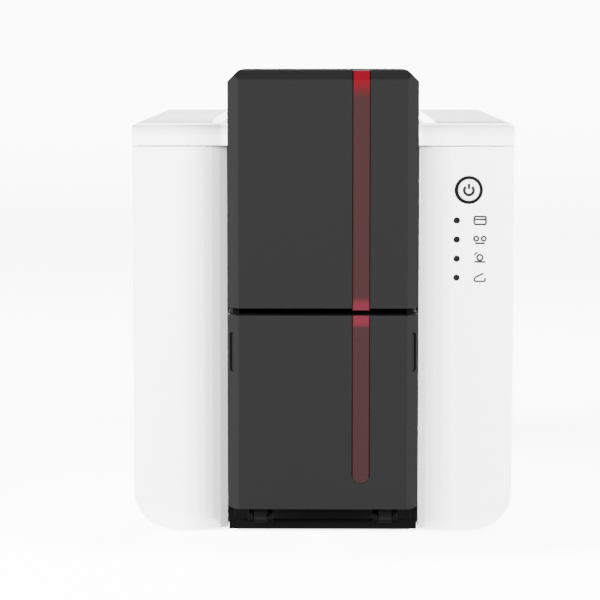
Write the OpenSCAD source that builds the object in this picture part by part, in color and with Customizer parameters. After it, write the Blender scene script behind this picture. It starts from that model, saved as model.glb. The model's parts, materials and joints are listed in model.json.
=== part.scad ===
// Desktop identity-card printer with a stacked card feeder and output bin at the front.
// Millimetres. X is right, Y is back, Z is up; the origin is under the middle of the box.

/* [Body] */
// Overall width
body_w = 203; // [190:1:215]
// Distance of the white front from the origin
body_front = 90; // [80:1:100]
// Distance of the white back from the origin
body_back = 190; // [180:1:200]
// Height of the top cover's top
body_h = 220; // [210:1:235]
// Height of the rubber feet
foot_h = 1.5; // [1:0.5:4]
// Wall thickness of the white shells
wall = 2.5; // [2:0.1:3.5]
// Rounding of the long bottom edges
corner_r = 21; // [10:1:26]
// Gap between the side shells and the cover
seam_gap = 0.6; // [0.3:0.1:1.5]
// Inner edge of each white fascia from the middle
fascia_in = 51.3; // [50:0.1:54]
// Where the fascia starts to curve back
fascia_curve_x = 72; // [64:1:80]
// Radius of that curve
fascia_r = 65; // [40:1:100]
// Depth of the fascia's return wall
return_d = 17; // [8:1:25]
// Start of the shell's bottom flange from the middle
flange_x = 62; // [58:1:66]
// Fitting gap between fixed plastic parts
fit = 0.15; // [0.05:0.05:0.4]

/* [Top cover] */
// Height of the top cover
cover_h = 11.8; // [10:0.1:16]
// Overhang of the front lip
lip_out = 3; // [2:0.5:6]
// Height of the plain front face of the cover
cover_face = 4.1; // [2:0.1:6]
// Thickness of the lip's edge
lip_t = 0.7; // [0.5:0.1:1.5]
// Half width of the long recess in the top
recess_x = 61; // [50:1:75]
// Depth of the long recess
recess_d = 5; // [2:0.5:6]
// Start of the recess behind the front face
recess_in = 7; // [4:1:20]
// Rounding of the cover's long top edges
cover_edge_r = 3; // [1:0.5:5]
// Middle of each cover hinge
hinge_x = 78; // [72:1:88]
// Width of each cover hinge lug
lug_w = 5.4; // [4:0.2:8]
// Radius of the cover hinge pins
cover_pin_r = 1.5; // [1:0.1:2.5]
// Running clearance of pins and shafts, radial
run = 0.05; // [0.02:0.01:0.1]

/* [Feeder] */
// Front face of the black feeder from the origin
feed_front = 190; // [180:1:200]
// Half width of the hood and the door
feed_x = 47.2; // [45:0.1:50]
// Hood top
feed_h = 249; // [240:1:260]
// Hood bottom
hood_z = 132; // [125:1:140]
// Door top
door_top = 128.5; // [120:0.5:131]
// Door bottom
door_z = 31.5; // [25:0.5:40]
// Chamfer of the black front corners
cham = 5.5; // [3:0.5:8]
// Chamfer of the hood's front top edge
top_cham = 4.5; // [3:0.5:8]
// Hood and door wall thickness
hood_t = 2.2; // [1.8:0.1:3]
// Hood back edge
hood_back = 97; // [95:0.5:100]
// Hood hinge, distance ahead of the origin
visor_y = 104.5; // [100:0.5:110]
// Hood hinge below the hood's top
visor_drop = 11; // [9:0.5:14]
// Hood hinge pin radius
visor_pin_r = 2; // [1.5:0.1:3]
// Thickness of the feeder's side frames
feed_frame_t = 3; // [2:0.5:4]
// Gap between side frames and hood
hood_gap = 0.4; // [0.3:0.1:1]
// Half width of the card stack space
card_x = 27.4; // [27.2:0.1:28]
// Thickness of the card guides
guide_t = 2; // [1.5:0.5:3]
// Height of the middle of the door's finger grips
grip_z = 110; // [90:1:115]
// Length of a finger grip
grip_len = 19.6; // [12:0.2:24]
// Width of a finger grip
grip_w = 3.2; // [2:0.1:4]
// Depth of a finger grip
grip_depth = 0.9; // [0.4:0.1:1.2]
// Depth of the door
door_d = 12; // [10:1:16]
// Door hinge, distance ahead of the origin
door_pin_y = 180; // [176:0.5:184]
// Door hinge height
door_pin_z = 26; // [22:0.5:29]
// Door hinge pin radius
door_pin_r = 1.2; // [1:0.1:2]
// Door knuckle radius
knuckle_r = 3; // [2.5:0.1:4]
// Middle of each door knuckle
knuckle_x = 31.2; // [25:0.1:38]
// Width of each door knuckle
knuckle_w = 6.4; // [4:0.2:10]
// Middle of the red window strip
window_x = 18.8; // [10:0.1:24]
// Width of the red window strip
window_w = 9; // [6:0.5:14]
// Bottom of the red window strip
window_z = 44.6; // [40:0.1:60]

/* [Card path] */
// Distance of the inner deck below the seam
deck_drop = 7.6; // [5:0.1:12]
// Height of the roller axes
axle_z = 135.2; // [130:0.1:140]
// Drive roller radius
roller_r = 6; // [5:0.1:6.5]
// Roller shaft radius
shaft_r = 2; // [1.5:0.1:3]
// Distance between neighbouring drive rollers
pitch_y = 36; // [36:1:36]
// Position of the print roller
platen_y = -4; // [-8:1:4]
// Gear module
gear_m = 1; // [1:1:1]
// Teeth on each roller gear
roller_teeth = 16; // [16:1:16]
// Teeth on each idler gear
idler_teeth = 20; // [20:1:20]
// Teeth on each motor pinion
pinion_teeth = 10; // [10:1:10]
// Teeth on the ribbon take-up gear
takeup_teeth = 24; // [24:1:24]
// Tooth height above the pitch circle on roller gears and pinions
add_small = 1; // [0.7:0.05:1]
// Tooth height above the pitch circle on idler gears
add_idler = 0.7; // [0.5:0.05:0.85]
// Tooth height above the pitch circle on the take-up gear
add_takeup = 0.65; // [0.5:0.05:0.8]
// Backlash between meshing teeth
backlash = 0.16; // [0.08:0.01:0.3]
// Gear width
gear_w = 5; // [4:0.5:6]
// Outer face of the gears from the middle
gear_x = 40; // [39:0.5:41]
// Inner face of the chassis plates from the middle
plate_x = 32.5; // [31:0.5:34]
// Thickness of the chassis plates
plate_t = 1.5; // [1:0.1:2.5]
// Upper roller radius
upper_r = 5; // [4:0.1:6]
// Gap between the lower and upper rollers
nip = 0.1; // [0.05:0.05:0.8]
// Take-up spool position
takeup_y = -56; // [-60:1:-52]
// Supply spool position
supply_y = 52; // [46:1:58]
// Spool height
spool_z = 176; // [172:1:180]
// Ribbon wound on the take-up spool
takeup_r = 9; // [6:0.5:11]
// Ribbon wound on the supply spool
supply_r = 14; // [8:0.5:15]

/* [Bin, tray and panel] */
// Half width of the output bin
bin_x = 28; // [27.5:0.5:30]
// Bottom of the output bin
bin_z = 36; // [34:1:40]
// Top of the output bin
bin_top = 122; // [110:1:122]
// Half width of the reject tray
tray_x = 30; // [29:0.5:31]
// Bottom of the reject tray
tray_z = 111; // [100:1:115]
// Height of the reject tray
tray_h = 22; // [15:1:30]
// Power button position across
button_x = 77.5; // [70:0.5:90]
// Power button below the shells' top edge
button_drop = 23; // [14:0.5:40]
// Radius of the power button
button_r = 5.7; // [4:0.1:8]
// Outer radius of the power button's ring
ring_r = 7.5; // [6:0.1:9]
// Button travel
button_travel = 1.2; // [0.5:0.1:2]
// Radius of a status light
light_r = 1.7; // [1:0.1:3]
// Position of the status lights across
light_x = 71.2; // [66:0.1:80]
// Lowest status light below the power button
light_drop = 46.8; // [42:0.1:60]
// Distance between the status lights
light_pitch = 10.2; // [8:0.1:14]

/* [Hidden] */
$fn = 64;
e = 0.01;
half_w = body_w / 2;
front = -body_front;
back = body_back;
cover_z = body_h - cover_h;
seam_z = cover_z - seam_gap;
plate_top = seam_z - deck_drop;
button_z = seam_z - button_drop;
light_z = button_z - light_drop;
visor_z = feed_h - visor_drop;
stack_top = visor_z - 9;
foot_x = half_w - 30.5;
foot_y = [front + 15, back - 20];
tray_w = half_w - corner_r - 1.5;
post_x = half_w - 16.5;
hinge_r = cover_h / 2;
hinge_y = back - hinge_r;
hinge_z = cover_z + hinge_r;
lip_y = front - lip_out;
cove_z = cover_z + cover_face;
cove_h = body_h - lip_t - cove_z;
cove_r = (lip_out * lip_out + cove_h * cove_h) / (2 * lip_out);
in_z = foot_h + wall;
tray_t = 3;
floor_z = in_z + tray_t;
deck_z = plate_top;
deck_t = 2.5;
panel_t = 2.5;
panel_y = back - 6;
frame_x1 = feed_x - hood_t - hood_gap;
frame_x0 = frame_x1 - feed_frame_t;
black_x = fascia_in - 0.8;
bezel_y0 = front + 3.5;
bezel_y1 = front + 6;
roll_top = axle_z + roller_r;
card_z = roll_top - 0.2;
upper_z = roll_top + nip + upper_r;
head_z = roll_top + 0.4;
plate_y0 = -83;
plate_y1 = panel_y;
gear_x1 = gear_x - gear_w;
link_r = (roller_teeth + idler_teeth) * gear_m / 2;
pinion_z = axle_z - (idler_teeth + pinion_teeth) * gear_m / 2;
takeup_pinion_z = spool_z - (takeup_teeth + pinion_teeth) * gear_m / 2;
drive_y = platen_y - pitch_y / 2;
feed_y = platen_y - 3 * pitch_y;
rollers_y = [for (i = [-3:1]) platen_y + i * pitch_y];
idlers_y = [for (i = [-3:0]) platen_y + (i + 0.5) * pitch_y];
bracket_x = gear_x + 2;
bush_r = shaft_r + 1.5;
upper_shaft_r = 1.5;
core_r = 5;
hub_r = 3;
ring_in = button_r + 0.1;

BLACK = [0.10, 0.10, 0.11];
WHITE = [0.93, 0.93, 0.92];
GREY = [0.45, 0.46, 0.48];
STEEL = [0.70, 0.71, 0.72];
RUBBER = [0.06, 0.06, 0.06];
ACETAL = [0.88, 0.87, 0.82];
RED = [0.62, 0.12, 0.15];
BOARD = [0.08, 0.32, 0.16];

// --- shapes shared by the nodes ---

module box(x0, x1, y0, y1, z0, z1) {
  translate([x0, y0, z0]) cube([x1 - x0, y1 - y0, z1 - z0]);
}

module both() {
  children();
  mirror([1, 0, 0]) children();
}

// A flat X-Z shape drawn out along Y
module xz(y0, y1) {
  rotate([90, 0, 0]) translate([0, 0, -y1]) linear_extrude(height = y1 - y0) children();
}

// A flat Y-Z shape drawn out along X
module yz(x0, x1) {
  rotate([90, 0, 90]) translate([0, 0, x0]) linear_extrude(height = x1 - x0) children();
}

module xcyl(r, x0, x1, y, z) {
  translate([x0, y, z]) rotate([0, 90, 0]) cylinder(r = r, h = x1 - x0);
}

module ycyl(r, y0, y1, x, z) {
  translate([x, y0, z]) rotate([-90, 0, 0]) cylinder(r = r, h = y1 - y0);
}

module zcyl(r, z0, z1, x, y) {
  translate([x, y, z0]) cylinder(r = r, h = z1 - z0);
}

module rect(x0, x1, y0, y1) {
  translate([x0, y0]) square([x1 - x0, y1 - y0]);
}

// Involute gear outline; its first tooth points along the flat X axis
function inv(a) = tan(a) * 180 / PI - a;

module gear_flat(teeth, add, phase) {
  r = teeth * gear_m / 2;
  rb = r * cos(20);
  ra = r + add;
  rf = r - 1.25 * gear_m;
  steps = 5;
  half = 90 / teeth - backlash / (4 * r) * 180 / PI;
  r0 = max(rb, rf);
  rho = [for (i = [0:steps]) r0 + (ra - r0) * i / steps];
  ang = [for (p = rho) half + inv(20) - inv(acos(min(1, rb / p)))];
  pts = [for (t = [0:teeth - 1])
    let (c = phase + t * 360 / teeth)
    each concat(
      [[rf * cos(c - ang[0]), rf * sin(c - ang[0])]],
      [for (i = [0:steps]) [rho[i] * cos(c - ang[i]), rho[i] * sin(c - ang[i])]],
      [for (i = [steps:-1:0]) [rho[i] * cos(c + ang[i]), rho[i] * sin(c + ang[i])]],
      [[rf * cos(c + ang[0]), rf * sin(c + ang[0])]]
    )];
  polygon(pts);
}

module gear(teeth, add, phase, y, z, bore) {
  translate([0, y, z]) yz(-gear_x, -gear_x1) difference() {
    gear_flat(teeth, add, phase);
    if (bore > 0) circle(r = bore);
  }
}

// --- white shells ---

// Front view of the body, drawn in by t
module body_front_view(t) {
  r = corner_r - t;
  b = foot_h + t;
  w = half_w - t;
  rect(-w, w, b + r, body_h);
  rect(-w + r, w - r, b, b + r + e);
  for (s = [-1, 1]) translate([s * (w - r), b + r]) circle(r = r);
}

// Plan of the right-hand body, drawn in by t
module body_plan(t, x0) {
  rect(fascia_curve_x, half_w, front + t, back + 1);
  rect(x0, fascia_curve_x + e, front + fascia_r, back + 1);
  intersection() {
    translate([fascia_curve_x, front + fascia_r]) circle(r = fascia_r - t, $fn = 160);
    rect(x0, fascia_curve_x + e, front, front + fascia_r + e);
  }
}

module side_shell() {
  difference() {
    intersection() {
      xz(front, back) body_front_view(0);
      linear_extrude(height = seam_z) body_plan(0, fascia_in);
    }
    intersection() {
      xz(front, back + 1) body_front_view(wall);
      linear_extrude(height = seam_z + 1) body_plan(wall, fascia_in + wall);
    }
    box(fascia_in - 1, flange_x, front + 3.4 + return_d, back + 1, 0, seam_z + 1);
    for (y = foot_y) zcyl(2 + fit, 0, in_z + 1, foot_x, y);
  }
  box(half_w - wall - 3, half_w - wall + e, front + 12, panel_y - 1, deck_z - 2.5, deck_z);
}

module side_shell_left() {
  color(WHITE) mirror([1, 0, 0]) side_shell();
}

module side_shell_right() {
  color(WHITE) {
    difference() {
      side_shell();
      ycyl(ring_r + fit, front - 1, front + wall + 1, button_x, button_z);
      for (i = [0:3])
        ycyl(light_r + fit, front - 1, front + wall + 1, light_x, light_z + i * light_pitch);
    }
    for (p = panel_bosses)
      ycyl(2.5, front + wall - 0.3, panel_board_y, p[0], p[1]);
  }
}

module top_cover() {
  edge = cover_edge_r;
  color(WHITE) difference() {
    union() {
      difference() {
        intersection() {
          yz(-half_w, half_w) cover_side_view(0);
          xz(lip_y - 1, back + 1) {
            rect(-half_w, half_w, cover_z - 1, body_h - edge);
            rect(-half_w + edge, half_w - edge, body_h - edge - e, body_h);
            for (s = [-1, 1]) translate([s * (half_w - edge), body_h - edge]) circle(r = edge);
          }
        }
        yz(-half_w + wall, half_w - wall) cover_side_view(wall);
      }
      // floor and sides of the long recess
      box(-recess_x - wall, recess_x + wall, front + recess_in - wall, hinge_y + 3.5,
          body_h - recess_d - wall, body_h - wall + e);
      // stiffening ribs, which land on the deck's posts
      both() box(post_x - 1, post_x + 1, front + 1, hinge_y - 8, cover_z, body_h - wall + e);
      // hinge knuckles
      both() intersection() {
        yz(hinge_x - lug_w / 2 - 5.3, hinge_x + lug_w / 2 + 5.3)
          translate([hinge_y, hinge_z]) circle(r = hinge_r - 0.02);
        box(0, half_w, hinge_y - hinge_r, back, cover_z - 1, body_h - e);
      }
    }
    box(-recess_x, recess_x, front + recess_in, back + 1, body_h - recess_d, body_h + 1);
    both() {
      box(hinge_x - lug_w / 2 - 0.3, hinge_x + lug_w / 2 + 0.3, hinge_y - 8, back + 1,
          cover_z - 1, hinge_z + 3.3);
      xcyl(cover_pin_r + run, hinge_x - 8.1, hinge_x + 8.1, hinge_y, hinge_z);
    }
  }
}

// Side view of the cover: coved front lip, flat top, round back edge
module cover_side_view(t) {
  difference() {
    union() {
      rect(front + t, hinge_y, t > 0 ? cover_z - 1 : cover_z, body_h - t);
      if (t == 0) rect(lip_y, front + 1, cove_z, body_h);
      translate([hinge_y, hinge_z]) circle(r = hinge_r - t);
      if (t > 0) rect(hinge_y - 1, hinge_y + hinge_r - t - 1.2, cover_z - 1, hinge_z - 1.5);
    }
    if (t == 0) translate([front - cove_r, cove_z]) circle(r = cove_r, $fn = 120);
  }
}

// --- base, back and deck ---

module base_tray() {
  color(BLACK) {
    difference() {
      union() {
        box(-tray_w, tray_w, front + 21, panel_y + panel_t, in_z, floor_z);
        box(-flange_x + 0.3, flange_x - 0.3, front + 21, back - 1, foot_h, in_z + e);
        box(-black_x, black_x, front + 1, front + 21 + e, foot_h, floor_z);
      }
      for (x = [-foot_x, foot_x]) zcyl(2 + fit, 0, floor_z + 1, x, foot_y[1]);
      for (x = [-15, 15]) for (y = [0:5]) box(x - 12, x + 12, -40 + y * 12, -36 + y * 12, 0, floor_z + 1);
    }
    // black front foot with cut lower corners
    xz(front, front + wall) polygon([
      [-black_x + 4, foot_h], [black_x - 4, foot_h], [black_x, foot_h + 4], [black_x, 12],
      [-black_x, 12], [-black_x, foot_h + 4]]);
    // frame round the opening behind the feeder
    difference() {
      xz(bezel_y0, bezel_y1) rect(-black_x, black_x, floor_z - e, seam_z - 0.6);
      box(-frame_x1 - 0.5, frame_x1 + 0.5, bezel_y0 - 1, bezel_y1 + 1, 12.5, 205.5);
    }
    for (p = board_posts) zcyl(3, floor_z - e, board_z, p[0], p[1]);
  }
}

module inner_deck() {
  y0 = -82;
  color(GREY) {
    difference() {
      union() {
        box(-half_w + wall + fit, half_w - wall - fit, y0, panel_y + panel_t, deck_z, deck_z + deck_t);
        // posts that the closed cover rests on
        both() zcyl(3, deck_z + deck_t - e, cover_z, post_x, y0 + 6);
        // hinge lugs
        both() {
          yz(hinge_x - lug_w / 2, hinge_x + lug_w / 2) {
            rect(hinge_y - 3, hinge_y + 3, deck_z + deck_t - e, hinge_z);
            translate([hinge_y, hinge_z]) circle(r = 3);
          }
          xcyl(cover_pin_r, hinge_x - lug_w / 2, hinge_x + lug_w / 2, hinge_y, hinge_z);
        }
      }
      box(-42, 42, y0 + 6, 76, deck_z - 1, deck_z + deck_t + 1);
      box(-30, 30, 75, 130, deck_z - 1, deck_z + deck_t + 1);
      // slots for air, and room for the fascias' return walls
      both() box(fascia_in - 0.3, fascia_in + wall + 0.3, y0 - 1, front + 3.4 + return_d + 0.3,
                 deck_z - 1, deck_z + deck_t + 1);
      for (x = [17.5 - half_w, half_w - 41.5]) for (i = [0:5])
        box(x + i * 4, x + i * 4 + 2, 20, 80, deck_z - 1, deck_z + deck_t + 1);
      both() xcyl(cover_pin_r, hinge_x - 8, hinge_x + 8, hinge_y, hinge_z);
    }
  }
}

module cover_hinge_pins() {
  color(STEEL) both() xcyl(cover_pin_r, hinge_x - 8, hinge_x + 8, hinge_y, hinge_z);
}

module rear_panel() {
  color(GREY) difference() {
    union() {
      intersection() {
        xz(panel_y, panel_y + panel_t) body_front_view(wall + fit);
        box(-half_w, half_w, panel_y, panel_y + panel_t, floor_z, deck_z);
      }
      // raised edge round the reject tray's opening
      difference() {
        box(-tray_x - 4, tray_x + 4, panel_y, panel_y + panel_t + 1, tray_z - 4, tray_z + tray_h + 4);
        box(-tray_x - 1, tray_x + 1, panel_y - 1, back, tray_z - e, tray_z + tray_h + 1);
      }
    }
    box(-tray_x - 1, tray_x + 1, panel_y - 1, back, tray_z - e, tray_z + tray_h + 1);
    for (s = sockets) box(s[0] - fit, s[1] + fit, panel_y - 1, back, board_z + board_t - fit, s[2] + fit);
    for (i = [0:5]) box(fan_x - 16, fan_x + 16, panel_y - 1, back, fan_z - 15.5 + i * 5.6, fan_z - 12.5 + i * 5.6);
    for (i = [0:7]) box(half_w - 55.5, half_w - 17.5, panel_y - 1, back, 60 + i * 7, 63 + i * 7);
    // anchor slot for a security lock
    box(19.5 - half_w, 26.5 - half_w, panel_y - 1, back, 30, 33);
    for (p = rear_points) ycyl(1.5 + fit, panel_y - 1, back, p[0], p[1]);
    for (p = fan_points) ycyl(1.5 + fit, panel_y - 1, back, p[0], p[1]);
  }
}

module rubber_feet() {
  color(RUBBER) for (x = [-foot_x, foot_x]) for (y = foot_y) {
    zcyl(7, 0, foot_h, x, y);
    zcyl(2, foot_h - e, in_z, x, y);
  }
}

// --- chassis ---

module plate_holes() {
  for (y = rollers_y) translate([y, axle_z]) circle(r = bush_r);
  for (y = [platen_y - 2 * pitch_y, platen_y - pitch_y])
    translate([y, upper_z]) circle(r = upper_shaft_r + run);
  for (y = [takeup_y, supply_y]) {
    translate([y, spool_z]) circle(r = hub_r + run);
    rect(y - hub_r - run, y + hub_r + run, spool_z, plate_top + 1);
  }
  translate([flap_y, flap_z]) circle(r = 1.5 + run);
  rect(60, 160, 20, 90);
  rect(-70, 30, 20, 85);
  rect(90, 170, axle_z + 9.8, plate_top - 10);
}

module frame_plate() {
  yz(plate_x, plate_x + plate_t) difference() {
    rect(plate_y0, plate_y1, floor_z, plate_top);
    plate_holes();
  }
}

module frame_plate_right() {
  color(STEEL) {
    frame_plate();
    box(plate_x, plate_x + 9, plate_y0, plate_y0 + 13, floor_z, floor_z + plate_t);
    box(plate_x, plate_x + 9, plate_y1 - 18, plate_y1, floor_z, floor_z + plate_t);
  }
}

module frame_plate_left() {
  color(STEEL) {
    mirror([1, 0, 0]) {
      frame_plate();
      box(plate_x, plate_x + 9, plate_y0, plate_y0 + 13, floor_z, floor_z + plate_t);
      box(plate_x, plate_x + 9, plate_y1 - 18, plate_y1, floor_z, floor_z + plate_t);
    }
    for (i = [1:3]) xcyl(shaft_r, -gear_x - 0.6, -plate_x - e, idlers_y[i], axle_z);
  }
}

module card_guide() {
  z1 = card_z - 0.5;
  color(BLACK) {
    difference() {
      box(-plate_x, plate_x, plate_y0, 150, z1 - 2, z1);
      for (i = [1:4])
        box(-27, 27, rollers_y[i] - 7, rollers_y[i] + 7, z1 - 3, z1 + 1);
      box(-29, 29, flap_y - 3, platen_y - pitch_y - 7.5, z1 - 3, z1 + 1);
    }
    // edge rails that keep the card straight
    both() box(card_x + 0.2, card_x + 1.4, 10, 150, z1 - e, z1 + 3);
    // ramp down to the output bin
    yz(-plate_x, plate_x)
      polygon([[-48, 131], [-48, 133], [-86, bin_top - 6], [-86, bin_top - 8]]);
    // shelf of the reject tray
    box(-plate_x, plate_x, 76, plate_y1, tray_z - 2.5, tray_z);
  }
}

module roller_bushes() {
  color(ACETAL) {
    for (y = rollers_y) both() difference() {
      xcyl(bush_r, plate_x, plate_x + plate_t + 0.8, y, axle_z);
      xcyl(shaft_r + run, plate_x - 2, plate_x + plate_t + 1, y, axle_z);
    }
  }
}

// --- feeder ---

// Plan of the black front, drawn in by t
module feed_plan(t, y1) {
  c = cham - 0.414 * t;
  polygon([
    [-feed_x + t, y1], [-feed_x + t, -feed_front + t + c], [-feed_x + t + c, -feed_front + t],
    [feed_x - t - c, -feed_front + t], [feed_x - t, -feed_front + t + c], [feed_x - t, y1]]);
}

module hood_front_view(t) {
  c = cham - 0.414 * t;
  polygon([
    [-feed_x + t, hood_z - (t > 0 ? 1 : 0)], [feed_x - t, hood_z - (t > 0 ? 1 : 0)],
    [feed_x - t, feed_h - t - c], [feed_x - t - c, feed_h - t],
    [-feed_x + t + c, feed_h - t], [-feed_x + t, feed_h - t - c]]);
}

module hood_side_view(t) {
  c = top_cham - 0.414 * t;
  r = feed_h - visor_z;
  difference() {
    polygon([
      [-feed_front + t, hood_z - 1], [-feed_front + t, feed_h - t - c],
      [-feed_front + t + c, feed_h - t], [-hood_back - t, feed_h - t], [-hood_back - t, hood_z - 1]]);
    // round back edge about the hood's hinge
    difference() {
      rect(-visor_y, -visor_y + r + 1, visor_z, feed_h + 1);
      translate([-visor_y, visor_z]) circle(r = r - t);
    }
  }
}

module strip_view(grow) {
  w = window_w / 2 + grow;
  rect(window_x - w, window_x + w, window_z + window_w / 2, feed_h + 1);
  translate([window_x, window_z + window_w / 2]) circle(r = w);
}

module feeder_cover() {
  color(BLACK) difference() {
    intersection() {
      linear_extrude(height = feed_h) feed_plan(0, -hood_back);
      xz(-feed_front, -hood_back) hood_front_view(0);
      yz(-feed_x, feed_x) hood_side_view(0);
    }
    intersection() {
      linear_extrude(height = feed_h) feed_plan(hood_t, -hood_back);
      xz(-feed_front, -hood_back) hood_front_view(hood_t);
      yz(-feed_x, feed_x) hood_side_view(hood_t);
    }
    // the back stays open below a short skirt, and beside it for the fixed frames
    box(-feed_x + hood_t, feed_x - hood_t, -hood_back - hood_t - 1, -hood_back + 1, hood_z - 1, visor_z - 5);
    both() box(frame_x0 - 0.3, feed_x - hood_t, -hood_back - hood_t - 1, -hood_back + 1,
               hood_z - 1, visor_z + 4);
    both() xcyl(visor_pin_r + run, frame_x1, feed_x + 1, -visor_y, visor_z);
    // channel of the red strip, over the front and 30 mm of the top
    xz(-feed_front - 1, -feed_front + 34) strip_view(0);
  }
}

module window_body() {
  intersection() {
    linear_extrude(height = feed_h) feed_plan(0.25, -hood_back);
    xz(-feed_front, -feed_front + 34) strip_view(-0.05);
    yz(-feed_x, feed_x) difference() {
      hood_side_view(0.25);
      hood_side_view(hood_t);
    }
  }
}

module feeder_window() {
  color(RED) window_body();
}

module feeder_hinge_pins() {
  color(STEEL) both() xcyl(visor_pin_r, frame_x0 - 1, feed_x - 0.2, -visor_y, visor_z);
}

module feeder_housing() {
  color(BLACK) {
    // side frames that carry the hood
    both() yz(frame_x0, frame_x1) difference() {
      union() {
        polygon([
          [-182, door_top], [-84, door_top], [-84, visor_z - 34], [lip_y - 2.5, visor_z - 34],
          [4.5 - visor_y, visor_z - 3], [4.5 - visor_y, visor_z], [-visor_y - 4.5, visor_z],
          [-visor_y - 8.5, visor_z - 13], [-182, visor_z - 70]]);
        translate([-visor_y, visor_z]) circle(r = 4.5);
      }
      translate([-visor_y, visor_z]) circle(r = visor_pin_r);
      rect(-170, -125, hood_z + 6, hood_z + 28);
    }
    difference() {
      union() {
        // floor under the card stack
        box(-frame_x0 - e, frame_x0 + e, -184, -84, card_z - 2.4, card_z);
        box(-card_x - guide_t, card_x + guide_t, -185.5, -184 + e, card_z - 2.4, card_z + 4);
        // card guides and back wall
        both() box(card_x, card_x + guide_t, -184, -95, card_z - e, stack_top);
        box(-card_x - guide_t, card_x + guide_t, -97.5, -95, card_z - e, stack_top - 3);
        both() box(card_x, frame_x0 + e, -102, -100, card_z - e, stack_top - 5);
        // bearing webs of the feed roller
        both() box(plate_x, plate_x + plate_t, -124, -101, door_top, card_z - 2);
        // rails of the thickness gauge
        both() box(24.2, 26, -95 - e, -92, card_z + 2, card_z + 24);
        both() box(21.5, 26, -93.3, -92, card_z + 2, card_z + 24);
      }
      box(-21, 21, feed_y - 7, feed_y + 7, card_z - 4, card_z + 1);
      both() xcyl(bush_r, plate_x - 1, plate_x + 3, feed_y, axle_z);
      // card slit
      box(-card_x, card_x, -98, -94, card_z, card_z + 1.4);
      // room for the gears
      box(-gear_x - 0.7, -gear_x1 + 0.7, feed_y - 11, -83, door_top - 1, card_z + 7);
      // slots that guide the card weight
      both() box(card_x - 1, card_x + guide_t + 1, -143 - 0.1, -137 + 0.1, card_z + 2, stack_top + 1);
      // finger opening at the front of the guides
      both() box(card_x - 1, card_x + guide_t + 1, -185, -176, card_z + 30, stack_top + 2);
    }
    // axle of the first idler, carried by the left side frame
    xcyl(shaft_r, -frame_x0 - e, -gear_x1 + 1, idlers_y[0], axle_z);
  }
}

module thickness_gauge() {
  color(GREY) {
    box(-24, 24, -94.9, -93.4, card_z + 1.4, card_z + 20);
    box(-4, 4, -94.9, -93.4, card_z + 19, stack_top + 1);
    box(-4, 4, -97.3, -93.5, stack_top - 1.5, stack_top + 1);
  }
}

module card_weight() {
  color(STEEL) difference() {
    union() {
      box(-card_x + 0.4, card_x - 0.4, -176, -104, card_z + 2, card_z + 6);
      box(-card_x - guide_t - 1.5, card_x + guide_t + 1.5, -143, -137, card_z + 2, card_z + 6);
      box(-8, 8, -146, -134, card_z + 5, card_z + 12);
    }
    box(-20, 20, -170, -150, card_z + 4, card_z + 7);
  }
}

module hopper_housing() {
  x1 = feed_x - 0.1;
  t = 2.2;
  color(BLACK) difference() {
    union() {
      yz(-x1, x1) polygon([
        [-177.5, door_z], [-177.5, door_top], [bezel_y0, door_top], [bezel_y0, 12.5],
        [front - 0.5, 12.5], [front - 0.5, 8.5], [-97, 8.5], [-97, 19.5], [-174, 30]]);
      // lugs of the door hinge
      both() for (x = [knuckle_x - knuckle_w / 2 - 3, knuckle_x + knuckle_w / 2 + 0.3])
        yz(x, x + 2.7) {
          translate([-door_pin_y, door_pin_z]) circle(r = knuckle_r);
          polygon([
            [-door_pin_y, door_pin_z - knuckle_r], [-170, door_pin_z], [-170, 34],
            [-177.5, 34], [-177.5, 29.5], [-door_pin_y, door_pin_z + 2.9]]);
        }
    }
    // bin, open at the front and at the card entry
    box(-bin_x, bin_x, -178, -97, bin_z, bin_top);
    box(-bin_x, bin_x, -98, bezel_y0 + 1, bin_top - 12, bin_top);
    // hollow sides, open to the back
    both() box(bin_x + t, x1 - t, -175, bezel_y0 + 1, 45, 118);
    box(-bin_x, bin_x, -94, bezel_y0 + 1, 20, bin_top - 14);
    box(-gear_x - 0.7, -gear_x1 + 0.7, feed_y - 11, bezel_y0 + 1, 123, door_top + 1);
    both() xcyl(door_pin_r, knuckle_x - 9, knuckle_x + 9, -door_pin_y, door_pin_z);
  }
}

module hopper_door() {
  y0 = -feed_front;
  y1 = y0 + door_d;
  color(BLACK) {
    difference() {
      union() {
        difference() {
          intersection() {
            linear_extrude(height = door_top) feed_plan(0, y1);
            xz(y0, y1) {
              rect(-feed_x, feed_x, door_z + 2.5, door_top);
              rect(-feed_x + 2.5, feed_x - 2.5, door_z, door_z + 2.5 + e);
              for (s = [-1, 1]) translate([s * (feed_x - 2.5), door_z + 2.5]) circle(r = 2.5);
            }
          }
          intersection() {
            linear_extrude(height = door_top) feed_plan(hood_t, y1 + 1);
            box(-feed_x, feed_x, y0, y1 + 1, door_z + hood_t, door_top - hood_t);
          }
        }
        // arms down to the hinge
        both() yz(knuckle_x - knuckle_w / 2, knuckle_x + knuckle_w / 2) {
          translate([-door_pin_y, door_pin_z]) circle(r = knuckle_r);
          polygon([
            [-door_pin_y - 2.9, door_pin_z], [-door_pin_y + 2, door_pin_z + 2.2],
            [-door_pin_y + 2, door_z + 1], [-door_pin_y - 6, door_z + 1]]);
        }
      }
      both() xcyl(door_pin_r + run, knuckle_x - 5, knuckle_x + 5, -door_pin_y, door_pin_z);
      xz(y0 - 1, y0 + hood_t + 0.5) strip_view(0);
      // shallow finger grips with round ends, on the corners
      both() translate([feed_x - cham / 2 + 0.5, y0 + cham / 2 + 0.5, grip_z]) rotate([0, 0, 45]) {
        cube([grip_w, 2 * grip_depth, grip_len - grip_w], center = true);
        for (s = [-1, 1]) translate([0, grip_depth, s * (grip_len - grip_w) / 2])
          rotate([90, 0, 0]) cylinder(r = grip_w / 2, h = 2 * grip_depth);
      }
    }
  }
}

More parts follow.
